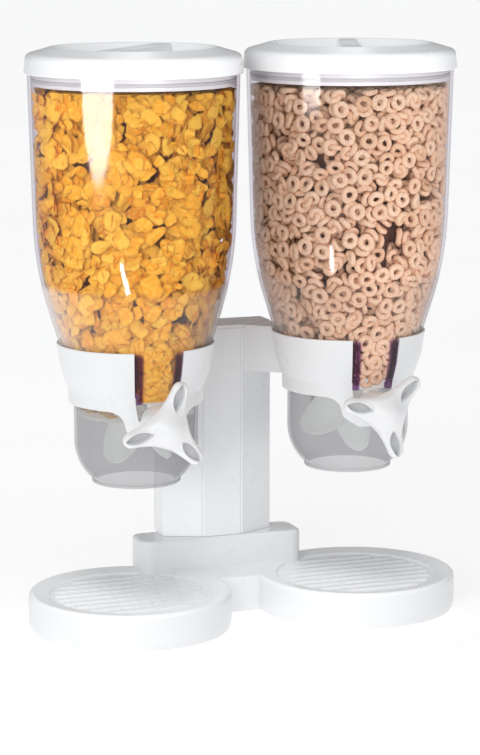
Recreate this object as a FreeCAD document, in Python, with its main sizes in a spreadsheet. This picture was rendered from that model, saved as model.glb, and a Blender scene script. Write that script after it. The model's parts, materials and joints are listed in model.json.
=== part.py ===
"""Twin dry-food dispenser: two clear canisters on a white stand, each with a knob-turned paddle wheel.

Frame: millimetres, X to the right, -Y to the front, +Z up, origin on the table under the middle.
Every part of a unit is modelled about its unit's own vertical axis and then placed at -88 or +88, and all of
them stand set_back behind the origin, which puts the origin under the middle of the whole.
"""
import FreeCAD, Part
import math
import os

import Sketcher

DIMENSIONS = {
    # placing of the two units, left and right of the middle
    "unit_offset": 88.0,
    "set_back": 3.9,
    "shaft_height": 170.0,
    # lid
    "lid_radius": 83.0,
    "lid_edge_radius": 81.5,
    "lid_top": 448.5,
    "lid_edge_top": 443.0,
    "lid_skirt_bottom": 428.7,
    "lid_plug_bottom": 419.7,
    "lid_plug_radius": 77.0,
    "lid_wall": 1.8,
    "dish_radius": 62.5,
    "dish_floor_radius": 50.5,
    "dish_depth": 12.0,
    "grip_width": 15.0,
    "grip_length": 112.0,
    "grip_drop": 0.6,
    "left_grip_turn": 48.7,
    "right_grip_turn": 69.7,
    "seal_radius": 77.5,
    "seal_depth": 1.4,
    "seal_height": 2.6,
    # canister
    "canister_top": 432.5,
    "canister_rim_radius": 80.5,
    "canister_bend_radius": 76.3,
    "canister_bend_height": 281.0,
    "canister_bend_blend": 260.0,
    "canister_wall": 2.4,
    "canister_foot": 188.7,
    "neck_gap": 0.4,
    "rib_angle": 36.4,
    "rib_wall_angle": 5.4,
    "rib_gap": 0.3,
    "rib_foot": 183.8,
    # collar
    "collar_top": 224.0,
    "collar_rim_radius": 60.6,
    "collar_rim_wall": 1.4,
    "collar_wall": 2.0,
    "collar_bowl_radius": 57.6,
    "collar_bowl_height": 204.5,
    "collar_bowl_blend": 40.0,
    "band_top": 188.4,
    "band_top_radius": 51.9,
    "band_radius": 51.9,
    "band_bottom": 178.0,
    "ledge_radius": 45.6,
    "ledge_height": 2.0,
    "slot_angle": 38.0,
    "slot_foot": 170.5,
    "slot_foot_half_width": 14.2,
    "bib_bottom": 155.0,
    "bib_half_width": 25.5,
    "bib_angle": 104.0,
    "rear_bib_bottom": 157.0,
    "rear_bib_angle": 26.0,
    "boss_radius": 13.0,
    "boss_front": 70.0,
    "rear_boss_radius": 10.0,
    "rear_boss_back": 56.0,
    # arm
    "arm_bottom": 186.0,
    "arm_top": 223.0,
    "arm_reach": 44.0,
    "arm_width": 26.0,
    # chute
    "chute_radius": 47.7,
    "chute_wall": 2.0,
    "chute_top": 183.2,
    "chute_bend_height": 129.3,
    "chute_bend_blend": 39.5,
    "chute_outlet_radius": 32.7,
    "chute_outlet_height": 117.3,
    "chute_lip_radius": 34.3,
    "chute_foot": 115.5,
    "notch_half_width": 6.4,
    # paddle wheel and its drive
    "paddle_reach": 44.0,
    "paddle_half_length": 41.0,
    "paddle_corner": 38.0,
    "paddle_thickness": 2.2,
    "paddle_count": 6,
    "wheel_hub_radius": 7.5,
    "shaft_radius": 4.0,
    "shaft_front": 79.0,
    "shaft_back": 53.0,
    "shaft_flat": 3.2,
    "running_clearance": 0.05,
    "press_clearance": 0.02,
    "bush_radius": 6.0,
    "front_bush_back": 47.9,
    "rear_bush_front": 46.2,
    # knob
    "knob_back": 70.6,
    "knob_front": 90.8,
    "knob_tip_front": 78.5,
    "knob_tip_back": 72.0,
    "lobe_reach": 29.7,
    "lobe_radius": 6.4,
    "knob_waist": 17.0,
    "knob_waist_blend": 20.0,
    "recess_floor": 78.0,
    "recess_near": 15.0,
    "recess_far": 33.5,
    "recess_half_width": 3.0,
    "recess_corner": 2.9,
    "knob_hub_radius": 13.5,
    "left_knob_turn": 72.5,
    "right_knob_turn": 45.0,
    "left_wheel_turn": 31.0,
    "right_wheel_turn": 8.0,
    # base
    "tray_offset": 94.5,
    "tray_forward": 2.4,
    "tray_radius": 78.9,
    "tray_height": 28.8,
    "tray_edge": 3.5,
    "tray_floor": 25.4,
    "tray_floor_radius": 62.0,
    "base_foot": 0.8,
    "base_wall": 2.6,
    "rib_pitch": 12.0,
    "rib_width": 4.0,
    "rib_height": 1.3,
    "bridge_half_width": 50.0,
    "bridge_front": 6.0,
    "pedestal_half_width": 68.0,
    "pedestal_front": 45.0,
    "pedestal_back": 80.5,
    "pedestal_top": 53.0,
    "pedestal_corner": 9.0,
    "cover_bottom": 1.6,
    "cover_top": 3.4,
    "cover_gap": 0.3,
    "foot_radius": 9.0,
    # column
    "column_half_width": 46.0,
    "facet_half_width": 16.3,
    "facet_front": 48.6,
    "facet_back": 62.4,
    "column_back": 80.3,
    "column_wall": 2.4,
    "column_foot": 53.2,
    "column_top": 221.0,
    "crease": 1.1,
    "back_cover_front": 80.5,
    "back_cover_back": 83.0,
    "cap_top": 224.2,
    "cap_gap": 0.2,
    # screws
    "screw_radius": 1.6,
    "screw_head_radius": 3.3,
    "screw_head_height": 1.4,
    "screw_hole_radius": 1.8,
    "screw_boss_radius": 4.2,
}

SIDES = {"left": -1, "right": 1}
BASE_SCREW_SEATS = [(-135, -40), (-135, 40), (-60, -50), (60, -50), (135, -40), (135, 40)]
FOOT_SEATS = [(-150, 5), (-95, -62), (-90, 55), (90, 55), (95, -62), (150, 5)]
BACK_SCREW_SEATS = [(-36, 75), (36, 75), (-36, 205), (36, 205)]
ARM_SCREW_HEIGHTS = [196, 213]
ARM_TURN = 39.7  # degrees the arms lean forward from the line through both units
RIBS_PER_TRAY = 9

doc = FreeCAD.newDocument("dispenser")
sheet = doc.addObject("Spreadsheet::Sheet", "Dims")
finished = []


class Dim:
    """A number together with the spreadsheet expression that drives it."""

    def __init__(self, value, text):
        self.value = float(value)
        self.text = text

    def joined(self, other, sign, result):
        return Dim(result, f"({self.text} {sign} {other.text})")

    def __add__(self, other):
        other = as_dim(other)
        return self.joined(other, "+", self.value + other.value)

    def __sub__(self, other):
        other = as_dim(other)
        return self.joined(other, "-", self.value - other.value)

    def __mul__(self, other):
        other = as_dim(other)
        return self.joined(other, "*", self.value * other.value)

    def __neg__(self):
        return Dim(-self.value, f"(0 - {self.text})")


def as_dim(number):
    if isinstance(number, Dim):
        return number
    return Dim(number, f"({number})")


def fill_sheet():
    """Write every driving dimension into the sheet and hand each back as a Dim."""
    for row, (alias, value) in enumerate(DIMENSIONS.items(), start=1):
        sheet.set(f"A{row}", alias)
        sheet.set(f"B{row}", str(value))
        sheet.setAlias(f"B{row}", alias)
    doc.recompute()
    return {alias: Dim(value, f"Dims.{alias}") for alias, value in DIMENSIONS.items()}


D = fill_sheet()


# ---------------------------------------------------------------- sketches

def new_body(label):
    body = doc.addObject("PartDesign::Body", label)
    body.Label = label
    return body


def sketch_on(body, role, shift=(0, 0, 0), turn=0.0):
    """A sketch on one of the body's origin planes, moved by shift in that plane's own axes."""
    plane = next(item for item in body.Origin.OriginFeatures if item.Role == role)
    sketch = body.newObject("Sketcher::SketchObject", f"{body.Label}_sketch")
    sketch.AttachmentSupport = (plane, "")
    sketch.MapMode = "FlatFace"
    move = [as_dim(part) for part in shift]
    rotation = FreeCAD.Rotation(FreeCAD.Vector(0, 1, 0), turn)
    base = FreeCAD.Vector(*(part.value for part in move))
    sketch.AttachmentOffset = FreeCAD.Placement(base, rotation)
    for axis, part in zip("xyz", move):
        if part.value:
            sketch.setExpression(f"AttachmentOffset.Base.{axis}", part.text)
    return sketch


def bind(sketch, constraints):
    """Add constraints given as (constraint, expression or None)."""
    first = sketch.ConstraintCount
    sketch.addConstraint([constraint for constraint, _ in constraints])
    for index, (_, text) in enumerate(constraints, start=first):
        if text:
            sketch.setExpression(f"Constraints[{index}]", text)


def fix_point(geometry, position, x, y):
    """Hold one point of a sketch at x, y, which are Dims."""
    held = []
    if x.value == 0:
        held.append((Sketcher.Constraint("PointOnObject", geometry, position, -2), None))
    else:
        held.append((Sketcher.Constraint("DistanceX", geometry, position, x.value), x.text))
    if y.value == 0:
        held.append((Sketcher.Constraint("PointOnObject", geometry, position, -1), None))
    else:
        held.append((Sketcher.Constraint("DistanceY", geometry, position, y.value), y.text))
    return held


def outline(sketch, corners):
    """Close an outline through corners (x, y) or (x, y, rounding radius)."""
    points = []
    for corner in corners:
        x, y = as_dim(corner[0]), as_dim(corner[1])
        radius = as_dim(corner[2]) if len(corner) > 2 else None
        points.append((FreeCAD.Vector(x.value, y.value, 0), x, y, radius))
    count = len(points)
    ends = []
    for index, (spot, _, _, radius) in enumerate(points):
        before = points[index - 1][0] - spot
        after = points[(index + 1) % count][0] - spot
        before.normalize()
        after.normalize()
        if radius is None:
            ends.append((spot, spot, None, None))
            continue
        half = before.getAngle(after) / 2
        reach = radius.value / math.tan(half)
        middle = before + after
        middle.normalize()
        centre = spot + middle * (radius.value / math.sin(half))
        left_turn = before.cross(after).z < 0
        ends.append((spot + before * reach, spot + after * reach, centre, left_turn))
    lines = []
    for index in range(count):
        start = ends[index][1]
        stop = ends[(index + 1) % count][0]
        lines.append(sketch.addGeometry(Part.LineSegment(start, stop), False))
    constraints = []
    for index, (spot, x, y, radius) in enumerate(points):
        line_in, line_out = lines[index - 1], lines[index]
        if radius is None:
            constraints.append((Sketcher.Constraint("Coincident", line_in, 2, line_out, 1), None))
            constraints += fix_point(line_out, 1, x, y)
            continue
        entry, leave, centre, left_turn = ends[index]
        first, last = (entry, leave) if left_turn else (leave, entry)
        circle = Part.Circle(centre, FreeCAD.Vector(0, 0, 1), radius.value)
        start_angle = math.atan2(first.y - centre.y, first.x - centre.x)
        stop_angle = math.atan2(last.y - centre.y, last.x - centre.x)
        arc = sketch.addGeometry(Part.ArcOfCircle(circle, start_angle, stop_angle), False)
        corner = sketch.addGeometry(Part.Point(spot), True)
        entry_end, leave_end = (1, 2) if left_turn else (2, 1)
        constraints += fix_point(corner, 1, x, y)
        constraints += [
            (Sketcher.Constraint("PointOnObject", corner, 1, line_in), None),
            (Sketcher.Constraint("PointOnObject", corner, 1, line_out), None),
            (Sketcher.Constraint("Tangent", line_in, 2, arc, entry_end), None),
            (Sketcher.Constraint("Tangent", arc, leave_end, line_out, 1), None),
            (Sketcher.Constraint("Radius", arc, radius.value), radius.text),
        ]
    bind(sketch, constraints)


def circle(sketch, radius, x=0, y=0):
    radius, x, y = as_dim(radius), as_dim(x), as_dim(y)
    spot = FreeCAD.Vector(x.value, y.value, 0)
    drawn = Part.Circle(spot, FreeCAD.Vector(0, 0, 1), radius.value)
    index = sketch.addGeometry(drawn, False)
    bind(sketch, [(Sketcher.Constraint("Radius", index, radius.value), radius.text)])
    bind(sketch, fix_point(index, 3, x, y))


# ---------------------------------------------------------------- features

def turned(body, corners, role="XZ_Plane", angle=None, cut=False, axis="V_Axis", shift=(0, 0, 0)):
    """Revolve an outline about a sketch axis: all round, or as a sector centred on the sketch plane."""
    sketch = sketch_on(body, role, shift)
    outline(sketch, corners)
    kind = "PartDesign::Groove" if cut else "PartDesign::Revolution"
    feature = body.newObject(kind, f"{body.Label}_turn")
    feature.Profile = sketch
    feature.ReferenceAxis = (sketch, [axis])
    if angle is None:
        feature.Angle = 360
    else:
        feature.Midplane = True
        feature.setExpression("Angle", angle.text)
    return feature


def pushed(body, sketch, length=None, cut=False, reverse=False, both_ways=False):
    """Pad or pocket a sketch by a length, or cut through everything when no length is given."""
    feature = body.newObject("PartDesign::Pocket" if cut else "PartDesign::Pad", f"{body.Label}_push")
    feature.Profile = sketch
    if both_ways:
        feature.SideType = "Symmetric"
    if length is None:
        feature.Type = "ThroughAll"
    else:
        feature.setExpression("Length", as_dim(length).text)
    feature.Reversed = reverse
    return feature


def rounded(body, radius, wanted):
    """Fillet the edges of the body's present shape for which wanted(edge) is true."""
    doc.recompute()
    base = body.Tip
    names = [f"Edge{n}" for n, edge in enumerate(base.Shape.Edges, start=1) if wanted(edge)]
    feature = body.newObject("PartDesign::Fillet", f"{body.Label}_fillet")
    feature.Base = (base, names)
    feature.setExpression("Radius", as_dim(radius).text)
    return feature


def repeated(body, features, axis_sketch, axis, count):
    """Repeat features evenly about an axis of a sketch."""
    pattern = body.newObject("PartDesign::PolarPattern", f"{body.Label}_pattern")
    pattern.Originals = features
    pattern.Axis = (axis_sketch, [axis])
    pattern.Angle = 360
    pattern.Occurrences = count
    body.Tip = pattern
    return pattern


def place(item, x=0, z=0, turn_axis=None, turn=0.0):
    """Put a finished sub-part at its place in the dispenser and note it for export."""
    x, z = as_dim(x), as_dim(z)
    axis = FreeCAD.Vector(*(turn_axis or (0, 0, 1)))
    base = FreeCAD.Vector(x.value, D["set_back"].value, z.value)
    item.Placement = FreeCAD.Placement(base, FreeCAD.Rotation(axis, turn))
    item.setExpression("Placement.Base.y", "Dims.set_back")
    if x.value:
        item.setExpression("Placement.Base.x", x.text)
    if z.value:
        item.setExpression("Placement.Base.z", z.text)
    finished.append(item)


def unit_x(side):
    return D["unit_offset"] * SIDES[side]


# ---------------------------------------------------------------- lid

def make_lid(side):
    """Press-in lid: skirt over the rim, plug inside it, and a sunk dish crossed by a grip bar."""
    body = new_body(f"{side}_lid")
    floor = D["lid_top"] - D["dish_depth"]
    plug_inside = D["lid_plug_radius"] - D["lid_wall"]
    below = D["lid_plug_bottom"] - 1
    turned(body, [
        (0, D["lid_plug_bottom"]),
        (D["lid_plug_radius"], D["lid_plug_bottom"], 0.6),
        (D["lid_plug_radius"], D["lid_skirt_bottom"]),
        (D["lid_radius"], D["lid_skirt_bottom"], 0.8),
        (D["lid_edge_radius"], D["lid_edge_top"], 5),
        (D["dish_radius"], D["lid_top"], 2.5),
        (D["dish_floor_radius"], floor, 4),
        (0, floor),
    ])
    bar = sketch_on(body, "XY_Plane", (0, 0, floor - D["lid_wall"]))
    half_length, half_width = D["grip_length"] * 0.5, D["grip_width"] * 0.5
    outline(bar, [
        (-half_length, -half_width), (half_length, -half_width),
        (half_length, half_width), (-half_length, half_width),
    ])
    pushed(body, bar, D["dish_depth"] + D["lid_wall"] - D["grip_drop"])
    bar_top = (D["lid_top"] - D["grip_drop"]).value
    rounded(body, 2.0, lambda edge: lies_level(edge, bar_top) and is_straight_along_x(edge))
    turned(body, [
        (0, below), (plug_inside, below), (plug_inside, D["lid_edge_top"] - 2.6, 1.5),
        (D["dish_radius"] + 1.2, D["lid_top"] - 2.6, 1.5),
        (D["dish_floor_radius"] + 1.2, floor - D["lid_wall"], 4), (0, floor - D["lid_wall"]),
    ], cut=True)
    channel_outside = D["lid_radius"] - D["lid_wall"]
    channel_below = D["lid_skirt_bottom"] - 1
    channel_top = D["canister_top"] + 1.5
    turned(body, [
        (D["lid_plug_radius"], channel_below), (channel_outside, channel_below),
        (channel_outside, channel_top), (D["lid_plug_radius"], channel_top),
    ], cut=True)
    seal_bottom = seal_height_bottom() - 0.1
    seal_top = seal_height_bottom() + D["seal_height"] + 0.1
    seat = D["seal_radius"] - D["seal_depth"]
    turned(body, [
        (seat, seal_bottom), (D["seal_radius"] + 0.5, seal_bottom),
        (D["seal_radius"] + 0.5, seal_top), (seat, seal_top),
    ], cut=True)
    place(body, unit_x(side), turn=D[f"{side}_grip_turn"].value)


def seal_height_bottom():
    return D["lid_plug_bottom"] + 2.9


def lies_level(edge, height):
    box = edge.BoundBox
    return abs(box.ZMin - height) < 0.01 and abs(box.ZMax - height) < 0.01


def is_straight_along_x(edge):
    box = edge.BoundBox
    return box.YLength < 0.01 and box.XLength > 60


def make_lid_seal(side):
    """Soft ring in the plug's groove."""
    body = new_body(f"{side}_lid_seal")
    inside = D["seal_radius"] - D["seal_depth"] + 0.05
    bottom = seal_height_bottom()
    top = bottom + D["seal_height"]
    turned(body, [
        (inside, bottom), (D["seal_radius"], bottom, 0.4), (D["seal_radius"], top, 0.4), (inside, top),
    ])
    place(body, unit_x(side))


# ---------------------------------------------------------------- canister

def make_canister(side):
    """Clear tapered canister whose neck has a hollow front rib that fills the collar's slot."""
    body = new_body(f"{side}_canister")
    wall = D["canister_wall"]
    bend = D["canister_bend_blend"]
    neck = D["collar_rim_radius"] - D["collar_rim_wall"] - D["neck_gap"]
    bowl = D["collar_bowl_radius"] - D["collar_wall"] - D["neck_gap"]
    foot = D["band_top_radius"] - D["collar_wall"] - D["neck_gap"] - 0.4
    curve = D["collar_bowl_blend"]
    turned(body, [
        (0, D["canister_foot"]), (foot, D["canister_foot"]),
        (bowl, D["collar_bowl_height"], curve), (neck, D["collar_top"], 30),
        (D["canister_bend_radius"], D["canister_bend_height"], bend),
        (D["canister_rim_radius"], D["canister_top"]), (0, D["canister_top"]),
    ])
    rib_face = D["collar_rim_radius"] - D["rib_gap"]
    rib_bowl = D["collar_bowl_radius"] - D["rib_gap"]
    rib_foot = D["band_top_radius"] - D["rib_gap"]
    rib_top = D["collar_top"] + 2.5
    turned(body, [
        (-D["ledge_radius"], D["rib_foot"]), (-rib_foot, D["rib_foot"]),
        (-rib_bowl, D["collar_bowl_height"], curve), (-rib_face, D["collar_top"]),
        (-(neck + 0.3), rib_top), (-D["ledge_radius"], rib_top),
    ], role="YZ_Plane", angle=D["rib_angle"])
    below = D["canister_foot"] - 1
    above = D["canister_top"] + 1
    turned(body, [
        (0, below), (foot - wall, below), (bowl - wall, D["collar_bowl_height"], curve),
        (neck - wall, D["collar_top"], 30),
        (D["canister_bend_radius"] - wall, D["canister_bend_height"], bend),
        (D["canister_rim_radius"] - wall, above), (0, above),
    ], cut=True)
    turned(body, [
        (-(D["ledge_radius"] - 4), D["rib_foot"] - 1), (-(rib_foot - wall), D["rib_foot"] - 1),
        (-(rib_bowl - wall), D["collar_bowl_height"], curve),
        (-(rib_face - wall), D["collar_top"]), (-(D["ledge_radius"] - 4), D["collar_top"]),
    ], role="YZ_Plane", angle=D["rib_angle"] - D["rib_wall_angle"], cut=True)
    place(body, unit_x(side))


# ---------------------------------------------------------------- collar

def arm_plan(side):
    """Plan corners of the arm, from the column's slanted facet into the collar, in the unit's frame."""
    inward = -SIDES[side]
    near_x = D["column_half_width"] - D["arm_width"]
    near_y = D["facet_front"] + (near_x - D["facet_half_width"]) * math.tan(facet_angle())
    run_x = math.cos(math.radians(ARM_TURN))
    run_y = -math.sin(math.radians(ARM_TURN))
    reach = D["arm_reach"]
    corners = [
        (near_x, near_y), (near_x + reach * run_x, near_y + reach * run_y),
        (D["column_half_width"] + reach * run_x, D["facet_back"] + reach * run_y),
        (D["column_half_width"], D["facet_back"]),
    ]
    return [((D["unit_offset"] - x) * inward, y) for x, y in corners]


def facet_seat(side):
    """Middle of the arm's end on the column's facet, and the facet's turn about Z."""
    middle_x = D["column_half_width"] - D["arm_width"] * 0.5
    middle_y = D["facet_front"] + (middle_x - D["facet_half_width"]) * math.tan(facet_angle())
    return middle_x * SIDES[side], middle_y, math.degrees(facet_angle()) * SIDES[side]


def make_collar(side):
    """White housing: bowl-shaped ring with a front slot, a bib with the shaft boss, and the arm."""
    body = new_body(f"{side}_collar")
    curve = D["collar_bowl_blend"]
    turned(body, [
        (0, D["band_bottom"]), (D["band_radius"], D["band_bottom"], 0.8),
        (D["band_top_radius"], D["band_top"], 1), (D["collar_bowl_radius"], D["collar_bowl_height"], curve),
        (D["collar_rim_radius"], D["collar_top"], 0.6), (0, D["collar_top"]),
    ])
    bib_top = D["band_bottom"] + 2
    turned(body, [
        (-D["ledge_radius"], D["bib_bottom"]), (-D["band_radius"], D["bib_bottom"], 0.8),
        (-D["band_radius"], bib_top), (-D["ledge_radius"], bib_top),
    ], role="YZ_Plane", angle=D["bib_angle"])
    turned(body, [
        (D["ledge_radius"], D["rear_bib_bottom"]), (D["band_radius"], D["rear_bib_bottom"], 0.8),
        (D["band_radius"], bib_top), (D["ledge_radius"], bib_top),
    ], role="YZ_Plane", angle=D["rear_bib_angle"])
    arm = sketch_on(body, "XY_Plane", (0, 0, D["arm_bottom"]))
    outline(arm, arm_plan(side))
    pushed(body, arm, D["arm_top"] - D["arm_bottom"])
    inside = D["band_radius"] - D["collar_wall"] + 0.1
    ledge_bottom = D["band_top"] - D["ledge_height"]
    above = D["collar_top"] + 1
    below = D["bib_bottom"] - 5
    turned(body, [
        (0, below), (inside, below), (inside, ledge_bottom), (D["ledge_radius"], ledge_bottom),
        (D["ledge_radius"], D["band_top"]), (D["band_top_radius"] - D["collar_wall"], D["band_top"]),
        (D["collar_bowl_radius"] - D["collar_wall"], D["collar_bowl_height"], curve),
        (D["collar_rim_radius"] - D["collar_rim_wall"], above), (0, above),
    ], cut=True)
    slot_top = D["collar_top"] + 2
    turned(body, [
        (-40, ledge_bottom), (-D["lid_radius"], ledge_bottom), (-D["lid_radius"], slot_top), (-40, slot_top),
    ], role="YZ_Plane", angle=D["slot_angle"], cut=True)
    cut_collar_front(body, ledge_bottom)
    add_shaft_bosses(body)
    cut_arm_screw_holes(body, side)
    place(body, unit_x(side))


def cut_collar_front(body, ledge_bottom):
    """Narrow the slot down to the boss, and sweep the ring's lower edge down into the bib."""
    slot_half = D["band_top_radius"].value * math.sin(math.radians(D["slot_angle"].value / 2))
    foot_half = D["slot_foot_half_width"]
    slot = sketch_on(body, "XZ_Plane", (0, 0, 30))
    outline(slot, [
        (-foot_half, D["slot_foot"], 3), (foot_half, D["slot_foot"], 3),
        (slot_half, ledge_bottom), (slot_half, ledge_bottom + 2),
        (-slot_half, ledge_bottom + 2), (-slot_half, ledge_bottom),
    ])
    pushed(body, slot, 40, cut=True, reverse=True)
    for hand in (-1, 1):
        half = D["bib_half_width"] * hand
        sweep = sketch_on(body, "XZ_Plane", (0, 0, 20))
        outline(sweep, [
            (half + 24 * hand, D["band_bottom"]), (half, D["band_bottom"], 12),
            (half - 3 * hand, D["bib_bottom"] + 7.5, 7), (half - 16 * hand, D["bib_bottom"] - 1),
            (half - 16 * hand, D["bib_bottom"] - 4), (half + 24 * hand, D["bib_bottom"] - 4),
        ])
        pushed(body, sweep, 40, cut=True, reverse=True)


def add_shaft_bosses(body):
    """Front and rear bosses along the shaft line, bored for the bushes."""
    inner_face = D["band_radius"] - D["collar_wall"] + 0.3
    front = sketch_on(body, "XZ_Plane", (0, 0, inner_face))
    circle(front, D["boss_radius"], 0, D["shaft_height"])
    pushed(body, front, D["boss_front"] - inner_face)
    rear = sketch_on(body, "XZ_Plane", (0, 0, -inner_face))
    circle(rear, D["rear_boss_radius"], 0, D["shaft_height"])
    pushed(body, rear, D["rear_boss_back"] - inner_face, reverse=True)
    bore = sketch_on(body, "XZ_Plane")
    circle(bore, D["bush_radius"], 0, D["shaft_height"])
    pushed(body, bore, cut=True, both_ways=True)


def cut_arm_screw_holes(body, side):
    seat_x, seat_y, turn = facet_seat(side)
    holes = sketch_on(body, "XZ_Plane", (seat_x - unit_x(side), 0, -seat_y), turn)
    for height in ARM_SCREW_HEIGHTS:
        circle(holes, D["screw_radius"], 0, height)
    pushed(body, holes, 12, cut=True, reverse=True)


# ---------------------------------------------------------------- chute

def make_chute(side):
    """Smoke-clear round chute, open above and below, notched from the top for the two bushes."""
    body = new_body(f"{side}_chute")
    wall = D["chute_wall"]
    outlet_inside = D["chute_outlet_radius"] - wall
    turned(body, [
        (D["chute_radius"], D["chute_top"]),
        (D["chute_radius"], D["chute_bend_height"], D["chute_bend_blend"]),
        (D["chute_outlet_radius"], D["chute_outlet_height"]),
        (D["chute_lip_radius"], D["chute_outlet_height"]), (D["chute_lip_radius"], D["chute_foot"], 0.7),
        (outlet_inside, D["chute_foot"]), (outlet_inside, D["chute_outlet_height"] + 0.9),
        (D["chute_radius"] - wall, D["chute_bend_height"] + 0.8, D["chute_bend_blend"] - 3.5),
        (D["chute_radius"] - wall, D["chute_top"]),
    ])
    half = D["notch_half_width"]
    notch_foot = D["shaft_height"] - half
    notch = sketch_on(body, "XZ_Plane")
    outline(notch, [
        (-half, D["chute_top"] + 2), (-half, notch_foot, half - 0.1),
        (half, notch_foot, half - 0.1), (half, D["chute_top"] + 2),
    ])
    pushed(body, notch, cut=True, both_ways=True)
    place(body, unit_x(side))


# ---------------------------------------------------------------- paddle wheel, shaft, knob, bushes

def make_paddle_wheel(side):
    """Hub with six flexible vanes whose corners follow the inside of the chute."""
    body = new_body(f"{side}_paddle_wheel")
    hub = sketch_on(body, "XZ_Plane")
    circle(hub, D["wheel_hub_radius"])
    pushed(body, hub, D["paddle_half_length"] * 2, both_ways=True)
    vane_sketch = sketch_on(body, "YZ_Plane")
    half, reach, corner = D["paddle_half_length"], D["paddle_reach"], D["paddle_corner"]
    outline(vane_sketch, [(-half, 0), (half, 0), (half, reach, corner), (-half, reach, corner)])
    vane = pushed(body, vane_sketch, D["paddle_thickness"], both_ways=True)
    repeated(body, [vane], hub, "N_Axis", int(D["paddle_count"].value))
    bore = sketch_on(body, "XZ_Plane")
    circle(bore, D["shaft_radius"] + D["press_clearance"])
    pushed(body, bore, cut=True, both_ways=True)
    turn = D[f"{side}_wheel_turn"].value
    place(body, unit_x(side), D["shaft_height"], (0, -1, 0), turn)


def make_drive_shaft(side):
    """Round shaft with a flat at each end of the wheel's seat and in the knob."""
    body = new_body(f"{side}_drive_shaft")
    rod = sketch_on(body, "XZ_Plane", (0, 0, -D["shaft_back"]))
    circle(rod, D["shaft_radius"])
    pushed(body, rod, D["shaft_front"] + D["shaft_back"])
    flat = sketch_on(body, "XZ_Plane", (0, 0, D["shaft_front"]))
    far = D["shaft_radius"] + 1
    outline(flat, [(-far, D["shaft_flat"]), (far, D["shaft_flat"]), (far, far), (-far, far)])
    pushed(body, flat, D["shaft_front"] - D["boss_front"] - 1, cut=True)
    place(body, unit_x(side), D["shaft_height"], (0, -1, 0), D[f"{side}_knob_turn"].value)


def star_outline(sketch):
    """Three-lobed star: each lobe a round tip, joined to the next by one wide hollow curve."""
    half_spread = math.radians(9.5)
    tip = (D["lobe_reach"] + D["lobe_radius"]).value / math.cos(half_spread)
    waist = D["knob_waist"].value
    corners = []
    for lobe in range(3):
        middle = math.radians(120 * lobe)
        for angle in (middle - half_spread, middle + half_spread):
            corners.append((tip * math.cos(angle), tip * math.sin(angle), D["lobe_radius"]))
        valley = middle + math.radians(60)
        corners.append((waist * math.cos(valley), waist * math.sin(valley), D["knob_waist_blend"]))
    outline(sketch, corners)


def make_knob(side):
    """Three-lobed knob: a domed star whose lobes sweep back, a hub behind, a long recess in each lobe."""
    body = new_body(f"{side}_knob")
    back = D["knob_back"]
    front = D["knob_front"]
    star = sketch_on(body, "XZ_Plane", (0, 0, back))
    star_outline(star)
    pushed(body, star, front - back + 2)
    tip = D["lobe_reach"] + D["lobe_radius"]
    past = tip + 8
    dome_edge = D["knob_tip_front"] - 5
    turned(body, [
        (-front, 0), (-front, 9, 30), (-dome_edge, past), (-(front + 4), past), (-(front + 4), 0),
    ], role="YZ_Plane", axis="H_Axis", cut=True)
    hub = D["knob_hub_radius"]
    behind = back - 5
    turned(body, [
        (-behind, hub), (-(back + 5), hub + 1.5, 3), (-(D["knob_tip_back"] + 7), tip - 16, 5),
        (-(behind + 2), past), (-behind, past),
    ], role="YZ_Plane", axis="H_Axis", cut=True)
    recess_sketch = sketch_on(body, "XZ_Plane", (0, 0, front + 1))
    near, far, half, corner = (D[f"recess_{name}"] for name in ("near", "far", "half_width", "corner"))
    outline(recess_sketch, [
        (near, -half, corner), (far, -half, corner), (far, half, corner), (near, half, corner),
    ])
    recess = pushed(body, recess_sketch, front + 1 - D["recess_floor"], cut=True)
    repeated(body, [recess], star, "N_Axis", 3)
    bore = sketch_on(body, "XZ_Plane", (0, 0, back - 1))
    circle(bore, D["shaft_radius"] + D["press_clearance"])
    pushed(body, bore, D["shaft_front"] - back + 1.3, cut=True, reverse=True)
    place(body, unit_x(side), D["shaft_height"], (0, -1, 0), D[f"{side}_knob_turn"].value)


def make_bush(side, end):
    """Plain sleeve in a collar boss, which the shaft turns in and which pins the chute."""
    body = new_body(f"{side}_{end}_bush")
    if end == "front":
        nearest, furthest = D["front_bush_back"], D["boss_front"] + 0.3
    else:
        nearest, furthest = -D["rear_boss_back"], -D["rear_bush_front"]
    outer = D["bush_radius"] - D["press_clearance"]
    inner = D["shaft_radius"] + D["running_clearance"]
    turned(body, [(-nearest, inner), (-furthest, inner), (-furthest, outer), (-nearest, outer)],
           role="YZ_Plane", axis="H_Axis")
    place(body, unit_x(side), D["shaft_height"])


# ---------------------------------------------------------------- base

def tray_shift(hand):
    """Shift that puts a sketch on the XZ plane through a tray's own axis."""
    return (D["tray_offset"] * hand, 0, D["tray_forward"])


def plan_rectangle(sketch, half_width, front, back, corner=None):
    extra = () if corner is None else (corner,)
    outline(sketch, [
        (-half_width, front, *extra), (half_width, front, *extra),
        (half_width, back, *extra), (-half_width, back, *extra),
    ])


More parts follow.
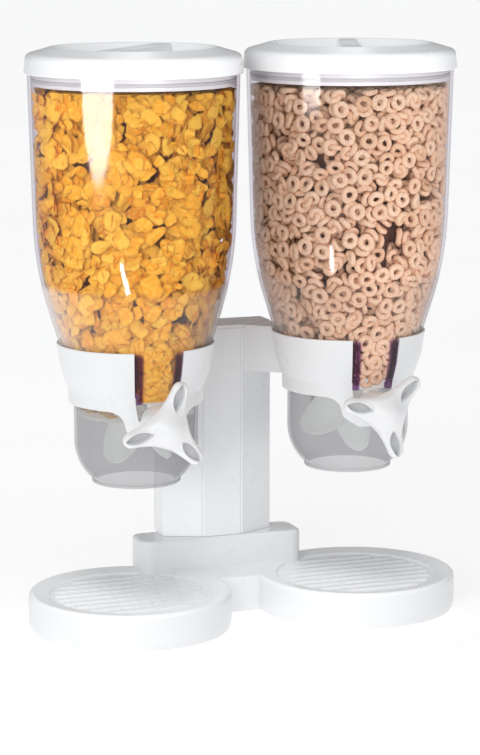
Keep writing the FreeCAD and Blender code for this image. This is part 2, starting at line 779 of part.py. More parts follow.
def make_base():
    """Hollow base: two dished, ribbed round trays and a pedestal for the column."""
    body = new_body("base")
    bridge = sketch_on(body, "XY_Plane", (0, 0, D["base_foot"]))
    plan_rectangle(bridge, D["bridge_half_width"], D["bridge_front"], D["pedestal_back"] - 10)
    pushed(body, bridge, D["tray_height"] - D["base_foot"])
    for hand in (-1, 1):
        turned(body, [
            (0, D["base_foot"]), (D["tray_radius"] - 1.4, D["base_foot"], 1),
            (D["tray_radius"], D["base_foot"] + 6, 12), (D["tray_radius"], D["tray_height"], D["tray_edge"]),
            (0, D["tray_height"]),
        ], shift=tray_shift(hand))
    above = D["tray_height"] + 2
    band_inside = D["tray_floor_radius"] + 1.2
    for hand in (-1, 1):
        turned(body, [
            (0, D["tray_floor"]), (D["tray_floor_radius"], D["tray_floor"], 1.0),
            (band_inside, D["tray_floor"] + 1.5, 0.7), (D["tray_radius"] - D["tray_edge"], D["tray_height"]),
            (D["tray_radius"] - D["tray_edge"], above), (0, above),
        ], shift=tray_shift(hand), cut=True)
    add_tray_ribs(body)
    pedestal = sketch_on(body, "XY_Plane", (0, 0, D["base_foot"]))
    plan_rectangle(pedestal, D["pedestal_half_width"], D["pedestal_front"], D["pedestal_back"],
                   D["pedestal_corner"])
    pushed(body, pedestal, D["pedestal_top"] - D["base_foot"])
    top = D["pedestal_top"].value
    rounded(body, 2.5, lambda edge: lies_level(edge, top))
    hollow_base(body)
    add_base_bosses(body)
    place(body)


def add_tray_ribs(body):
    """Parallel ribs on each tray floor, each as long as the round floor allows."""
    ribs = sketch_on(body, "XY_Plane", (0, 0, D["tray_floor"] - 0.5))
    middle = (RIBS_PER_TRAY - 1) / 2
    for hand in (-1, 1):
        for index in range(RIBS_PER_TRAY):
            offset = (index - middle) * D["rib_pitch"].value
            room = D["tray_floor_radius"].value - 4
            half = math.sqrt(room**2 - offset**2)
            across = D["rib_width"] * 0.5
            centre_y = -D["tray_forward"] + D["rib_pitch"] * (index - middle)
            centre_x = D["tray_offset"] * hand
            outline(ribs, [
                (centre_x - half, centre_y - across), (centre_x + half, centre_y - across),
                (centre_x + half, centre_y + across), (centre_x - half, centre_y + across),
            ])
    pushed(body, ribs, D["rib_height"] + 0.5)


def hollow_base(body):
    """Cut the underside away to an even wall."""
    wall = D["base_wall"]
    start = (0, 0, D["base_foot"] - 1)
    trays = sketch_on(body, "XY_Plane", start)
    for hand in (-1, 1):
        circle(trays, D["tray_radius"] - wall, D["tray_offset"] * hand, -D["tray_forward"])
    pushed(body, trays, D["tray_floor"] - wall - D["base_foot"] + 1, cut=True, reverse=True)
    bridge = sketch_on(body, "XY_Plane", start)
    plan_rectangle(bridge, D["bridge_half_width"], D["bridge_front"] + wall, D["pedestal_front"] + 8)
    pushed(body, bridge, D["tray_floor"] - wall - D["base_foot"] + 1, cut=True, reverse=True)
    pedestal = sketch_on(body, "XY_Plane", start)
    plan_rectangle(pedestal, D["pedestal_half_width"] - wall, D["pedestal_front"] + wall,
                   D["pedestal_back"] - wall, D["pedestal_corner"] - wall)
    pushed(body, pedestal, D["pedestal_top"] - wall - D["base_foot"] + 1, cut=True, reverse=True)


def add_base_bosses(body):
    posts = sketch_on(body, "XY_Plane", (0, 0, D["cover_top"] + 0.1))
    holes = sketch_on(body, "XY_Plane", (0, 0, D["cover_top"]))
    for x, y in BASE_SCREW_SEATS:
        circle(posts, D["screw_boss_radius"], x, y)
        circle(holes, D["screw_radius"], x, y)
    pushed(body, posts, D["tray_floor"] - D["cover_top"] - 2)
    pushed(body, holes, 12, cut=True, reverse=True)


def make_base_cover():
    """Flat plate that closes the underside of the base."""
    body = new_body("base_cover")
    inset = D["base_wall"] + D["cover_gap"]
    thickness = D["cover_top"] - D["cover_bottom"]
    level = (0, 0, D["cover_bottom"])
    bridge = sketch_on(body, "XY_Plane", level)
    plan_rectangle(bridge, D["bridge_half_width"], D["bridge_front"] + inset, D["pedestal_front"] + 8)
    pushed(body, bridge, thickness)
    for hand in (-1, 1):
        tray = sketch_on(body, "XY_Plane", level)
        circle(tray, D["tray_radius"] - inset, D["tray_offset"] * hand, -D["tray_forward"])
        pushed(body, tray, thickness)
    pedestal = sketch_on(body, "XY_Plane", level)
    plan_rectangle(pedestal, D["pedestal_half_width"] - inset, D["pedestal_front"] + inset,
                   D["pedestal_back"] - inset, D["pedestal_corner"] - inset)
    pushed(body, pedestal, thickness)
    holes = sketch_on(body, "XY_Plane", level)
    for x, y in BASE_SCREW_SEATS:
        circle(holes, D["screw_hole_radius"], x, y)
    pushed(body, holes, cut=True, both_ways=True)
    place(body)


# ---------------------------------------------------------------- column

def facet_angle():
    """Turn of the column's slanted facets from its front facet, in radians."""
    depth = D["facet_back"].value - D["facet_front"].value
    run = D["column_half_width"].value - D["facet_half_width"].value
    return math.atan2(depth, run)


def column_corners(inset, back):
    """Plan corners of the column's faceted front, moved in by inset to leave an even wall."""
    slant = facet_angle()
    half = D["column_half_width"] - inset
    facet = D["facet_half_width"] - inset * math.tan(slant / 2)
    front = D["facet_front"] + inset
    side_front = D["facet_back"] + inset * (1 / math.cos(slant) - math.tan(slant))
    return half, facet, front, side_front, as_dim(back)


def make_column():
    """Faceted front shell of the column, open behind, with screw posts for its back cover."""
    body = new_body("column")
    half, facet, front, side_front, back = column_corners(as_dim(0), D["column_back"])
    inner_half, inner_facet, inner_front, inner_side, _ = column_corners(D["column_wall"], back)
    crease = D["crease"]
    section = sketch_on(body, "XY_Plane", (0, 0, D["column_foot"]))
    outline(section, [
        (-half, back), (-half, side_front),
        (-(facet + crease), front + crease * 0.47), (-facet, front + crease), (-(facet - crease), front),
        (facet - crease, front), (facet, front + crease), (facet + crease, front + crease * 0.47),
        (half, side_front), (half, back),
        (inner_half, back), (inner_half, inner_side), (inner_facet, inner_front),
        (-inner_facet, inner_front), (-inner_half, inner_side), (-inner_half, back),
    ])
    pushed(body, section, D["column_top"] - D["column_foot"])
    floor = sketch_on(body, "XY_Plane", (0, 0, D["column_foot"]))
    outline(floor, [
        (-half + 1, back), (-half + 1, side_front + 1), (-facet, front + 1.2),
        (facet, front + 1.2), (half - 1, side_front + 1), (half - 1, back),
    ])
    pushed(body, floor, D["column_wall"])
    posts = sketch_on(body, "XZ_Plane", (0, 0, -D["column_back"]))
    holes = sketch_on(body, "XZ_Plane", (0, 0, -D["column_back"]))
    for x, height in BACK_SCREW_SEATS:
        circle(posts, D["screw_boss_radius"], x, height)
        circle(holes, D["screw_radius"], x, height)
    pushed(body, posts, 19)
    pushed(body, holes, 13, cut=True, reverse=True)
    for side in SIDES:
        seat_x, seat_y, turn = facet_seat(side)
        arm_holes = sketch_on(body, "XZ_Plane", (seat_x, 0, -seat_y), turn)
        for height in ARM_SCREW_HEIGHTS:
            circle(arm_holes, D["screw_hole_radius"], 0, height)
        pushed(body, arm_holes, 8, cut=True, both_ways=True)
    place(body)


def make_column_back():
    """Flat back cover, with its screw heads sunk flush."""
    body = new_body("column_back")
    plate = sketch_on(body, "XZ_Plane", (0, 0, -D["back_cover_back"]))
    half = D["column_half_width"]
    outline(plate, [
        (-half, D["column_foot"], 3), (half, D["column_foot"], 3),
        (half, D["column_top"], 3), (-half, D["column_top"], 3),
    ])
    pushed(body, plate, D["back_cover_back"] - D["back_cover_front"])
    holes = sketch_on(body, "XZ_Plane")
    sinks = sketch_on(body, "XZ_Plane", (0, 0, -D["back_cover_back"]))
    for x, height in BACK_SCREW_SEATS:
        circle(holes, D["screw_hole_radius"], x, height)
        circle(sinks, D["screw_head_radius"] + 0.2, x, height)
    pushed(body, holes, cut=True, both_ways=True)
    pushed(body, sinks, D["screw_head_height"] + 0.1, cut=True, reverse=True)
    place(body)


def make_column_cap():
    """Plate that closes the column's top."""
    body = new_body("column_cap")
    half, facet, front, side_front, back = column_corners(as_dim(0), D["back_cover_back"])
    plan = sketch_on(body, "XY_Plane", (0, 0, D["column_top"] + D["cap_gap"]))
    outline(plan, [
        (-half, back, 2), (-half, side_front), (-facet, front),
        (facet, front), (half, side_front), (half, back, 2),
    ])
    pushed(body, plan, D["cap_top"] - D["column_top"] - D["cap_gap"])
    top = D["cap_top"].value
    rounded(body, 1.0, lambda edge: lies_level(edge, top))
    place(body)


# ---------------------------------------------------------------- fasteners and feet

def screw(name, head_at, direction, shank_length):
    """A screw whose head stands at head_at and whose shank runs along direction."""
    rotation = FreeCAD.Rotation(FreeCAD.Vector(0, 0, 1), FreeCAD.Vector(*direction))
    head = doc.addObject("Part::Cone", f"{name}_head")
    head.setExpression("Radius1", "Dims.screw_head_radius * 0.8")
    head.setExpression("Radius2", "Dims.screw_head_radius")
    head.setExpression("Height", "Dims.screw_head_height")
    shank = doc.addObject("Part::Cylinder", f"{name}_shank")
    shank.setExpression("Radius", "Dims.screw_radius")
    shank.Height = shank_length + DIMENSIONS["screw_head_height"]
    for solid in (head, shank):
        solid.Placement = FreeCAD.Placement(FreeCAD.Vector(*head_at), rotation)
    fused = doc.addObject("Part::Fuse", name)
    fused.Base = head
    fused.Tool = shank
    return fused


def group(label, members):
    compound = doc.addObject("Part::Compound", label)
    compound.Label = label
    compound.Links = members
    compound.Placement.Base.y = DIMENSIONS["set_back"]
    finished.append(compound)


def make_base_screws():
    head = DIMENSIONS["screw_head_height"]
    level = DIMENSIONS["cover_bottom"] - head
    members = [screw(f"base_screw_{n}", (x, y, level), (0, 0, 1), 10)
               for n, (x, y) in enumerate(BASE_SCREW_SEATS)]
    group("base_screws", members)


def make_column_screws():
    back = DIMENSIONS["back_cover_back"] - 0.05
    members = [screw(f"column_screw_{n}", (x, back, height), (0, -1, 0), 12)
               for n, (x, height) in enumerate(BACK_SCREW_SEATS)]
    group("column_screws", members)


def make_arm_screws(side):
    seat_x, seat_y, turn = facet_seat(side)
    angle = math.radians(turn)
    normal = (math.sin(angle), -math.cos(angle))
    setback = DIMENSIONS["column_wall"] + DIMENSIONS["screw_head_height"] + 0.02
    start_x = seat_x.value - normal[0] * setback
    start_y = seat_y.value - normal[1] * setback
    members = [screw(f"{side}_arm_screw_{n}", (start_x, start_y, height), (*normal, 0), 11)
               for n, height in enumerate(ARM_SCREW_HEIGHTS)]
    group(f"{side}_arm_screws", members)


def make_feet():
    members = []
    for index, (x, y) in enumerate(FOOT_SEATS):
        pad = doc.addObject("Part::Cylinder", f"foot_{index}")
        pad.setExpression("Radius", "Dims.foot_radius")
        pad.setExpression("Height", "Dims.cover_bottom")
        pad.Placement = FreeCAD.Placement(FreeCAD.Vector(x, y, 0), FreeCAD.Rotation())
        members.append(pad)
    group("non_slip_feet", members)


# ---------------------------------------------------------------- build, check and write

def check_objects():
    """Stop if any object failed or any sub-part is empty or invalid."""
    for item in doc.Objects:
        if {"Invalid", "Error"} & set(item.State):
            raise RuntimeError(f"{item.Label} failed: {item.State}")
    for item in finished:
        if item.Shape.isNull() or not item.Shape.isValid() or not item.Shape.Solids:
            raise RuntimeError(f"{item.Label} has no valid solid")


def main():
    for side in SIDES:
        make_lid(side)
        make_lid_seal(side)
        make_canister(side)
        make_collar(side)
        make_chute(side)
        make_paddle_wheel(side)
        make_drive_shaft(side)
        make_knob(side)
        for end in ("front", "rear"):
            make_bush(side, end)
        make_arm_screws(side)
    make_base()
    make_base_cover()
    make_base_screws()
    make_feet()
    make_column()
    make_column_back()
    make_column_cap()
    make_column_screws()
    doc.recompute()
    check_objects()
    os.makedirs("parts", exist_ok=True)
    for item in finished:
        item.Shape.exportStep(f"parts/{item.Label}.step")
        print(item.Label, len(item.Shape.Solids), round(item.Shape.Volume / 1000, 1), "cm3")


main()
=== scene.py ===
"""Twin cereal dispenser: finishes, sculpted knobs, cereal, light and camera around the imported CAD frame.

Everything is in metres, in the CAD frame: X to the right, -Y to the front, +Z up, table at z = 0.
"""
import json
import math

import bpy
import numpy as np
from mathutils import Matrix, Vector
from mathutils.bvhtree import BVHTree

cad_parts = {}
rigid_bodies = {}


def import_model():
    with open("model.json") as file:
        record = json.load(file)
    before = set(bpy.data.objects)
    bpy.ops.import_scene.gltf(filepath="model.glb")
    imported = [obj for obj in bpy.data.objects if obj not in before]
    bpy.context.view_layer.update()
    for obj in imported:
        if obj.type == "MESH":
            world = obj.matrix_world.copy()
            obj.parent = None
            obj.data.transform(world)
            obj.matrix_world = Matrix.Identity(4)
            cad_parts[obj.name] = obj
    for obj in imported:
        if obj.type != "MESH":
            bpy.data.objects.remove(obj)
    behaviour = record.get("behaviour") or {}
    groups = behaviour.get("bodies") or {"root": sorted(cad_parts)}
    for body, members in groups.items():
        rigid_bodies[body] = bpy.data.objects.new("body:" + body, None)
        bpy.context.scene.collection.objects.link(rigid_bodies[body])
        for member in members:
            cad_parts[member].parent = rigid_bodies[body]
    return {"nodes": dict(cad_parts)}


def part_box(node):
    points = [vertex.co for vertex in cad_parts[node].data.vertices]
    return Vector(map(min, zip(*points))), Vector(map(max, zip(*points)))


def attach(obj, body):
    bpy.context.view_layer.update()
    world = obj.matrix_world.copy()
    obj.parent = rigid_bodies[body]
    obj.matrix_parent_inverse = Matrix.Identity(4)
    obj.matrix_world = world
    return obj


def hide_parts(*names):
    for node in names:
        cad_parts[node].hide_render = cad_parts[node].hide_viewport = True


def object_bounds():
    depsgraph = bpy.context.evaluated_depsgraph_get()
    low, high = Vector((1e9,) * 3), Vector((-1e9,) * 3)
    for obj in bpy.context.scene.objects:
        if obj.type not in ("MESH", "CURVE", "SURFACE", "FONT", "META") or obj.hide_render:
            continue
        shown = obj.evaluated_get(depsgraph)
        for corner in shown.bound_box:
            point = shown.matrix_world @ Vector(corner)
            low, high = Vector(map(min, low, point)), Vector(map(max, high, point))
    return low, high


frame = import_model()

CAD_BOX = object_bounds()
MM = 0.001
SIDES = ("left", "right")


# ---------------------------------------------------------------- small helpers

def centre(node):
    low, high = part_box(node)
    return (low + high) / 2


def new_piece(name, vertices, faces, material, body, sharp=None):
    """A mesh piece in the row frame, riding on a body. vertices and faces are arrays or lists."""
    mesh = bpy.data.meshes.new(name)
    mesh.from_pydata([tuple(v) for v in vertices], [], [tuple(f) for f in faces])
    mesh.materials.append(material)
    mesh.shade_smooth()
    if sharp:
        mesh.set_sharp_from_angle(angle=math.radians(sharp))
    piece = bpy.data.objects.new(name, mesh)
    bpy.context.scene.collection.objects.link(piece)
    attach(piece, body)
    return piece


def store(piece, name, values):
    """Keep one number per vertex for the material to read."""
    attribute = piece.data.attributes.new(name, "FLOAT", "POINT")
    attribute.data.foreach_set("value", np.asarray(values, np.float32))


def smoothstep(low, high, value):
    t = np.clip((value - low) / (high - low), 0, 1)
    return t * t * (3 - 2 * t)


# ---------------------------------------------------------------- materials

class Look:
    """A node material while it is being wired up."""

    def __init__(self, name):
        self.material = bpy.data.materials.new(name)
        self.material.use_nodes = True
        self.tree = self.material.node_tree
        self.tree.nodes.clear()
        self.output = self.tree.nodes.new("ShaderNodeOutputMaterial")
        self.place = self.add("TexCoord").outputs["Object"]

    def add(self, kind, inputs=None, **options):
        node = self.tree.nodes.new(f"ShaderNode{kind}")
        for option, value in options.items():
            setattr(node, option, value)
        for key, value in (inputs or {}).items():
            if isinstance(value, bpy.types.NodeSocket):
                self.tree.links.new(value, node.inputs[key])
            else:
                node.inputs[key].default_value = value
        return node

    def noise(self, scale, detail=2.0, stretch=(1, 1, 1)):
        place = self.place
        if stretch != (1, 1, 1):
            place = self.add("Mapping", {"Vector": place, "Scale": stretch}).outputs[0]
        return self.add("TexNoise", {"Vector": place, "Scale": scale, "Detail": detail}).outputs["Fac"]

    def ramp(self, factor, stops):
        """Colours or greys along factor; each stop is (place, colour)."""
        node = self.add("ValToRGB", {"Fac": factor})
        while len(node.color_ramp.elements) < len(stops):
            node.color_ramp.elements.new(1.0)
        for element, (place, colour) in zip(node.color_ramp.elements, stops):
            element.position = place
            grey = isinstance(colour, (int, float))
            element.color = (colour, colour, colour, 1) if grey else (*colour, 1)
        return node.outputs["Color"]

    def blend(self, factor, first, second, mode="MIX"):
        node = self.add("Mix", {"Factor": factor}, data_type="RGBA", blend_type=mode)
        for socket, value in ((node.inputs[6], first), (node.inputs[7], second)):
            if isinstance(value, bpy.types.NodeSocket):
                self.tree.links.new(value, socket)
            else:
                socket.default_value = (*value, 1)
        return node.outputs[2]

    def sums(self, operation, first, second):
        return self.add("Math", {0: first, 1: second}, operation=operation).outputs[0]

    def bump(self, height, distance, strength=1.0):
        inputs = {"Height": height, "Distance": distance, "Strength": strength}
        return self.add("Bump", inputs).outputs["Normal"]

    def end(self, surface):
        self.tree.links.new(surface, self.output.inputs["Surface"])
        return self.material


def moulded(name, colour, shade, roughness, grain=0.00002, specular=0.5, hollow_shade=0.0):
    """Injection-moulded plastic: slow colour drift, uneven gloss, a fine skin texture and painted shade that
    darkens the hollows which a piece marks.
    """
    look = Look(name)
    base = look.ramp(look.noise(18, 3), [(0.35, shade), (0.65, colour)])
    # Painted shade: where a piece marks its hollows, the colour goes towards dark grey, standing in for the
    # shade inside them.
    if hollow_shade:
        hollow = look.sums("MULTIPLY", look.add("Attribute", attribute_name="hollow_and_shade").outputs["Fac"], hollow_shade)
        base = look.blend(hollow, base, (0.12, 0.12, 0.13))
    gloss = look.ramp(look.noise(60, 4), [(0.3, roughness - 0.03), (0.7, roughness + 0.03)])
    skin = look.bump(look.noise(1400, 2), grain)
    shader = look.add("BsdfPrincipled", {
        "Base Color": base, "Roughness": gloss, "Normal": skin, "Specular IOR Level": specular,
    })
    return look.end(shader.outputs[0])


def clear_wall(name, through, edge, milk, milk_amount, low=None):
    """Clear moulded wall: tinted see-through, darker towards its edges, mirror gloss and a little milk.

    low = (height, haze amount): below that height the wall is hazy where it turns away. The two side walls of
    the rib at the foot of such a wall get a dark tint, painted shade for the dark look they have when seen
    edge on.
    """
    look = Look(name)
    facing = look.add("LayerWeight", {"Blend": 0.5}).outputs["Facing"]
    cloud = look.ramp(look.noise(22, 3), [(0.3, 0.75), (0.7, 1.0)])
    milky = look.sums("MULTIPLY", cloud, milk_amount)
    if low:
        height = look.add("SeparateXYZ", {0: look.place}).outputs["Z"]
        below = look.add("MapRange", {
            "Value": height, "From Min": low[0] + 0.004, "From Max": low[0] - 0.004,
        }, interpolation_type="SMOOTHSTEP").outputs[0]
        turned = look.sums("MULTIPLY_ADD", look.sums("POWER", facing, 1.8), low[1])
        turned.node.inputs[2].default_value = low[1] * 0.04
        milky = look.sums("ADD", milky, look.sums("MULTIPLY", look.sums("MULTIPLY", below, turned), cloud))
    tint = look.blend(look.sums("POWER", facing, 4.0), through, edge)
    streaks = look.ramp(look.noise(9, 2, (1, 1, 0.25)), [(0.35, 0.95), (0.7, 1.0)])
    tint = look.blend(1.0, tint, streaks, "MULTIPLY")
    # Painted shade: the rib's side walls take a dark purple tint, standing in for the darkness they show seen
    # edge on.
    if low:
        tint = look.blend(rib_sides(look), tint, (0.50, 0.32, 0.56))
    body = look.add("BsdfTransparent", {"Color": tint}).outputs[0]
    white = look.add("BsdfDiffuse", {"Color": (*milk, 1)}).outputs[0]
    body = look.add("MixShader", {0: milky, 1: body, 2: white}).outputs[0]
    ripple = look.bump(look.noise(45, 2), 0.0002, 0.15)
    polish = look.add("BsdfGlossy", {"Color": (1, 1, 1, 1), "Roughness": 0.07, "Normal": ripple}).outputs[0]
    mirror = look.sums("MULTIPLY_ADD", look.sums("POWER", facing, 4.0), 0.3)
    mirror.node.inputs[2].default_value = 0.009
    return look.end(look.add("MixShader", {0: mirror, 1: body, 2: polish}).outputs[0])


def rib_sides(look):
    """1 on the side walls of the two front ribs, 0 elsewhere."""
    unit = centre("right_chute")
    x, y, z = look.add("SeparateXYZ", {0: look.place}).outputs
    across = look.sums("ABSOLUTE", look.sums("SUBTRACT", look.sums("ABSOLUTE", x, 0.0), unit.x), 0.0)
    ahead = look.sums("MAXIMUM", look.sums("SUBTRACT", unit.y, y), 0.001)
    slant = look.sums("DIVIDE", across, ahead)
    wide = look.add("MapRange", {"Value": slant, "From Min": 0.205, "From Max": 0.24}).outputs[0]
    beside = look.add("MapRange", {"Value": slant, "From Min": 0.38, "From Max": 0.35}).outputs[0]
    rib_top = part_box("right_collar")[1].z
    below = look.add("MapRange", {"Value": z, "From Min": rib_top, "From Max": rib_top - 0.004}).outputs[0]
    return look.sums("MULTIPLY", look.sums("MULTIPLY", wide, beside), below)


def soft_silicone(name, colour, shade, painted_glow=0.0):
    """Milky flexible plastic: part of the light passes through it, and it can glow with painted light of its
    own.
    """
    look = Look(name)
    base = look.ramp(look.noise(35, 3), [(0.35, shade), (0.65, colour)])
    skin = look.bump(look.noise(900, 2), 0.00003)
    # The emission is painted light: it makes the silicone glow though it is no lamp.
    front = look.add("BsdfPrincipled", {
        "Base Color": base, "Roughness": 0.45, "Normal": skin, "Emission Color": (1, 1, 1, 1),
        "Emission Strength": painted_glow,
    }).outputs[0]
    glow = look.add("BsdfTranslucent", {"Color": base}).outputs[0]
    return look.end(look.add("MixShader", {0: 0.35, 1: front, 2: glow}).outputs[0])


def corn_flake():
    """Toasted maize: golden blisters, browned rims and a tone of its own for each flake."""
    look = Look("corn_flake")
    toast = look.add("Attribute", attribute_name="toast").outputs["Fac"]
    rim = look.add("Attribute", attribute_name="rim").outputs["Fac"]
    gold = look.ramp(toast, [
        (0.0, (1.0, 0.60, 0.085)), (0.45, (0.98, 0.47, 0.035)),
        (0.8, (0.88, 0.35, 0.02)), (1.0, (0.58, 0.18, 0.012)),
    ])
    blister = look.noise(330, 4)
    lit = look.blend(look.ramp(blister, [(0.45, 0.0), (0.72, 0.75)]), gold, (1.0, 0.69, 0.10))
    brown_rim = look.ramp(rim, [(0.75, 0.0), (1.0, 0.8)])
    patches = look.ramp(look.noise(260, 3), [(0.38, 0.1), (0.62, 1.0)])
    burnt = look.sums("MULTIPLY", brown_rim, patches)
    base = look.blend(burnt, lit, (0.45, 0.14, 0.012))
    rough = look.bump(blister, 0.0008)
    shader = look.add("BsdfPrincipled", {
        "Base Color": base, "Roughness": 0.55, "Normal": rough, "Specular IOR Level": 0.12,
    })
    return look.end(shader.outputs[0])


def oat_ring():
    """Baked oat dough: tan, speckled, a little darker in the dips."""
    look = Look("oat_ring")
    toast = look.add("Attribute", attribute_name="toast").outputs["Fac"]
    tan = look.ramp(toast, [(0.0, (1.0, 0.74, 0.52)), (0.6, (0.95, 0.65, 0.44)), (1.0, (0.78, 0.48, 0.28))])
    crumb = look.noise(700, 4)
    speck = look.ramp(look.noise(520, 3), [(0.36, 1.0), (0.46, 0.0)])
    base = look.blend(look.sums("MULTIPLY", speck, 0.45), tan, (0.55, 0.28, 0.15))
    base = look.blend(look.ramp(crumb, [(0.5, 0.0), (0.75, 0.5)]), base, (1.0, 0.74, 0.53))
    shader = look.add("BsdfPrincipled", {
        "Base Color": base, "Roughness": 0.75, "Normal": look.bump(crumb, 0.0005), "Specular IOR Level": 0.12,
    })
    return look.end(shader.outputs[0])


def cereal_core(name, light, dark, scale):
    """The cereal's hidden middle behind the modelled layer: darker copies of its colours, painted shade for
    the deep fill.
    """
    look = Look(name)
    cells = look.add("TexVoronoi", {"Vector": look.place, "Scale": scale}).outputs["Distance"]
    # Painted shade: away from each cell's centre, towards the gaps between the lumps, the colour darkens.
    base = look.ramp(cells, [(0.1, light), (0.7, dark)])
    lumps = look.bump(cells, 0.002)
    shader = look.add("BsdfPrincipled", {"Base Color": base, "Roughness": 0.8, "Normal": lumps})
    return look.end(shader.outputs[0])


def rubber(name, colour):
    look = Look(name)
    base = look.ramp(look.noise(120, 3), [(0.35, tuple(c * 0.8 for c in colour)), (0.65, colour)])
    shader = look.add("BsdfPrincipled", {
        "Base Color": base, "Roughness": 0.8, "Normal": look.bump(look.noise(1500, 2), 0.00006),
    })
    return look.end(shader.outputs[0])


def plated_steel(name):
    look = Look(name)
    brushed = look.noise(900, 3, (1, 1, 0.1))
    base = look.ramp(brushed, [(0.3, (0.5, 0.5, 0.52)), (0.7, (0.68, 0.68, 0.7))])
    gloss = look.ramp(brushed, [(0.3, 0.25), (0.7, 0.42)])
    shader = look.add("BsdfPrincipled", {"Base Color": base, "Roughness": gloss, "Metallic": 1.0})
    return look.end(shader.outputs[0])


TAPER_TOP = 0.269
WHITE = moulded("white_plastic", (0.875, 0.883, 0.895), (0.855, 0.863, 0.878), 0.3)
# The knob plastic paints shade into the hollows of its lobes.
KNOB_WHITE = moulded("knob_plastic", (0.89, 0.893, 0.90), (0.87, 0.875, 0.885), 0.27, hollow_shade=0.3)
CLEAR = clear_wall("clear_plastic", (0.975, 0.965, 0.975), (0.66, 0.62, 0.68), (0.60, 0.54, 0.50), 0.004,
                   (TAPER_TOP, 0.45))
SMOKE = clear_wall("smoke_plastic", (0.87, 0.87, 0.875), (0.74, 0.74, 0.76), (0.60, 0.60, 0.61), 0.27)
LOOKS = {
    "white_shell": WHITE,
    "clear_canister": CLEAR,
    "smoke_chute": SMOKE,
    # The paddle silicone glows with painted light, which brightens the vanes.
    "soft_paddle": soft_silicone("paddle_silicone", (0.90, 0.91, 0.90), (0.87, 0.88, 0.87), 0.3),
    "lid_seal": soft_silicone("seal_silicone", (0.88, 0.885, 0.89), (0.84, 0.85, 0.86)),
    "knob": KNOB_WHITE,
    "shaft": moulded("shaft_nylon", (0.8, 0.8, 0.8), (0.76, 0.76, 0.77), 0.42),
    "bush": moulded("bush_acetal", (0.72, 0.72, 0.73), (0.68, 0.68, 0.7), 0.38),
    "under_cover": moulded("cover_plastic", (0.8, 0.81, 0.83), (0.77, 0.78, 0.8), 0.5, 0.00006),
    "feet": rubber("foot_rubber", (0.06, 0.06, 0.065)),
    "screws": plated_steel("zinc_plate"),
}


def finish_cad_nodes():
    """Give every carried-over CAD node the finish of its slot."""
    for node in frame["nodes"].values():
        for slot in node.material_slots:
            slot.material = LOOKS[slot.material.name.split(".")[0]]


# ---------------------------------------------------------------- knobs

KNOB_SECTORS = 288
KNOB_STEPS = 56
LOBE_REACH = 30.2
LOBE_TIP = 6.3
KNOB_HUB = 13.4


def lobe_field(x, y):
    """Signed distance, in mm, to three tapered lobes melted together; negative inside."""
    total = np.zeros_like(x)
    melt = 5.5
    for lobe in range(3):
        angle = math.radians(120 * lobe)
        along = x * math.cos(angle) + y * math.sin(angle)
        across = -x * math.sin(angle) + y * math.cos(angle)
        t = np.clip(along / LOBE_REACH, 0, 1)
        radius = 12.5 + (LOBE_TIP - 12.5) * t ** 0.8
        distance = np.hypot(along - t * LOBE_REACH, across) - radius
        total += np.exp(-distance / melt * 2)
    return -np.log(total) * melt / 2


def knob_outline(angles):
    """Distance from the shaft line to the knob's edge in each direction, in mm."""
    near, far = np.full_like(angles, 5.0), np.full_like(angles, 45.0)
    for _ in range(30):
        middle = (near + far) / 2
        inside = lobe_field(middle * np.cos(angles), middle * np.sin(angles)) < 0
        near, far = np.where(inside, middle, near), np.where(inside, far, middle)
    return near


def knob_turn(node, shaft):
    """Which way a lobe of the CAD knob points, from the phase of its threefold shape."""
    points = np.array([v.co for v in frame["nodes"][node].data.vertices])
    x, z = points[:, 0] - shaft.x, points[:, 2] - shaft.z
    return float(np.angle((np.hypot(x, z) ** 6 * np.exp(3j * np.arctan2(z, x))).sum()) / 3)


def knob_surfaces(x, y):
    """Front and back skins in mm ahead of the hub's rear face, and 1 where a lobe is hollow, where the knob's
    material also paints shade.
    """
    reach = np.hypot(x, y)
    edge = np.clip(-lobe_field(x, y), 0, None)
    roll = np.sqrt(1 - (1 - np.clip(edge / 3.2, 0, 1)) ** 2)
    spine = 5.6 + 1.6 * smoothstep(10, 34, reach)
    crown = 11.6 * np.exp(-((reach / 14.5) ** 2.2)) + 1.5 * np.exp(-(((reach - 33) / 9) ** 2))
    front = spine + (2.9 + crown) * roll
    back = spine - 2.6 * roll
    angle = np.arctan2(y, x)
    fold = (angle + math.pi / 3) % (2 * math.pi / 3) - math.pi / 3
    along, across = reach * np.cos(fold), reach * np.sin(fold)
    half_width = 3.8 * np.clip(1 - ((along - 24.5) / 10.5) ** 2, 0, None) ** 0.8
    within = half_width - np.abs(across)
    hollow_and_shade = smoothstep(-0.3, 0.9, within) * (half_width > 0)
    front -= 6.4 * hollow_and_shade
    front += 0.5 * np.exp(-((within + 1.0) ** 2) / 0.6) * (half_width > 0)
    hub = smoothstep(KNOB_HUB + 1.6, KNOB_HUB, reach)
    back = back * (1 - hub)
    return np.maximum(front, back + 0.4), back, hollow_and_shade


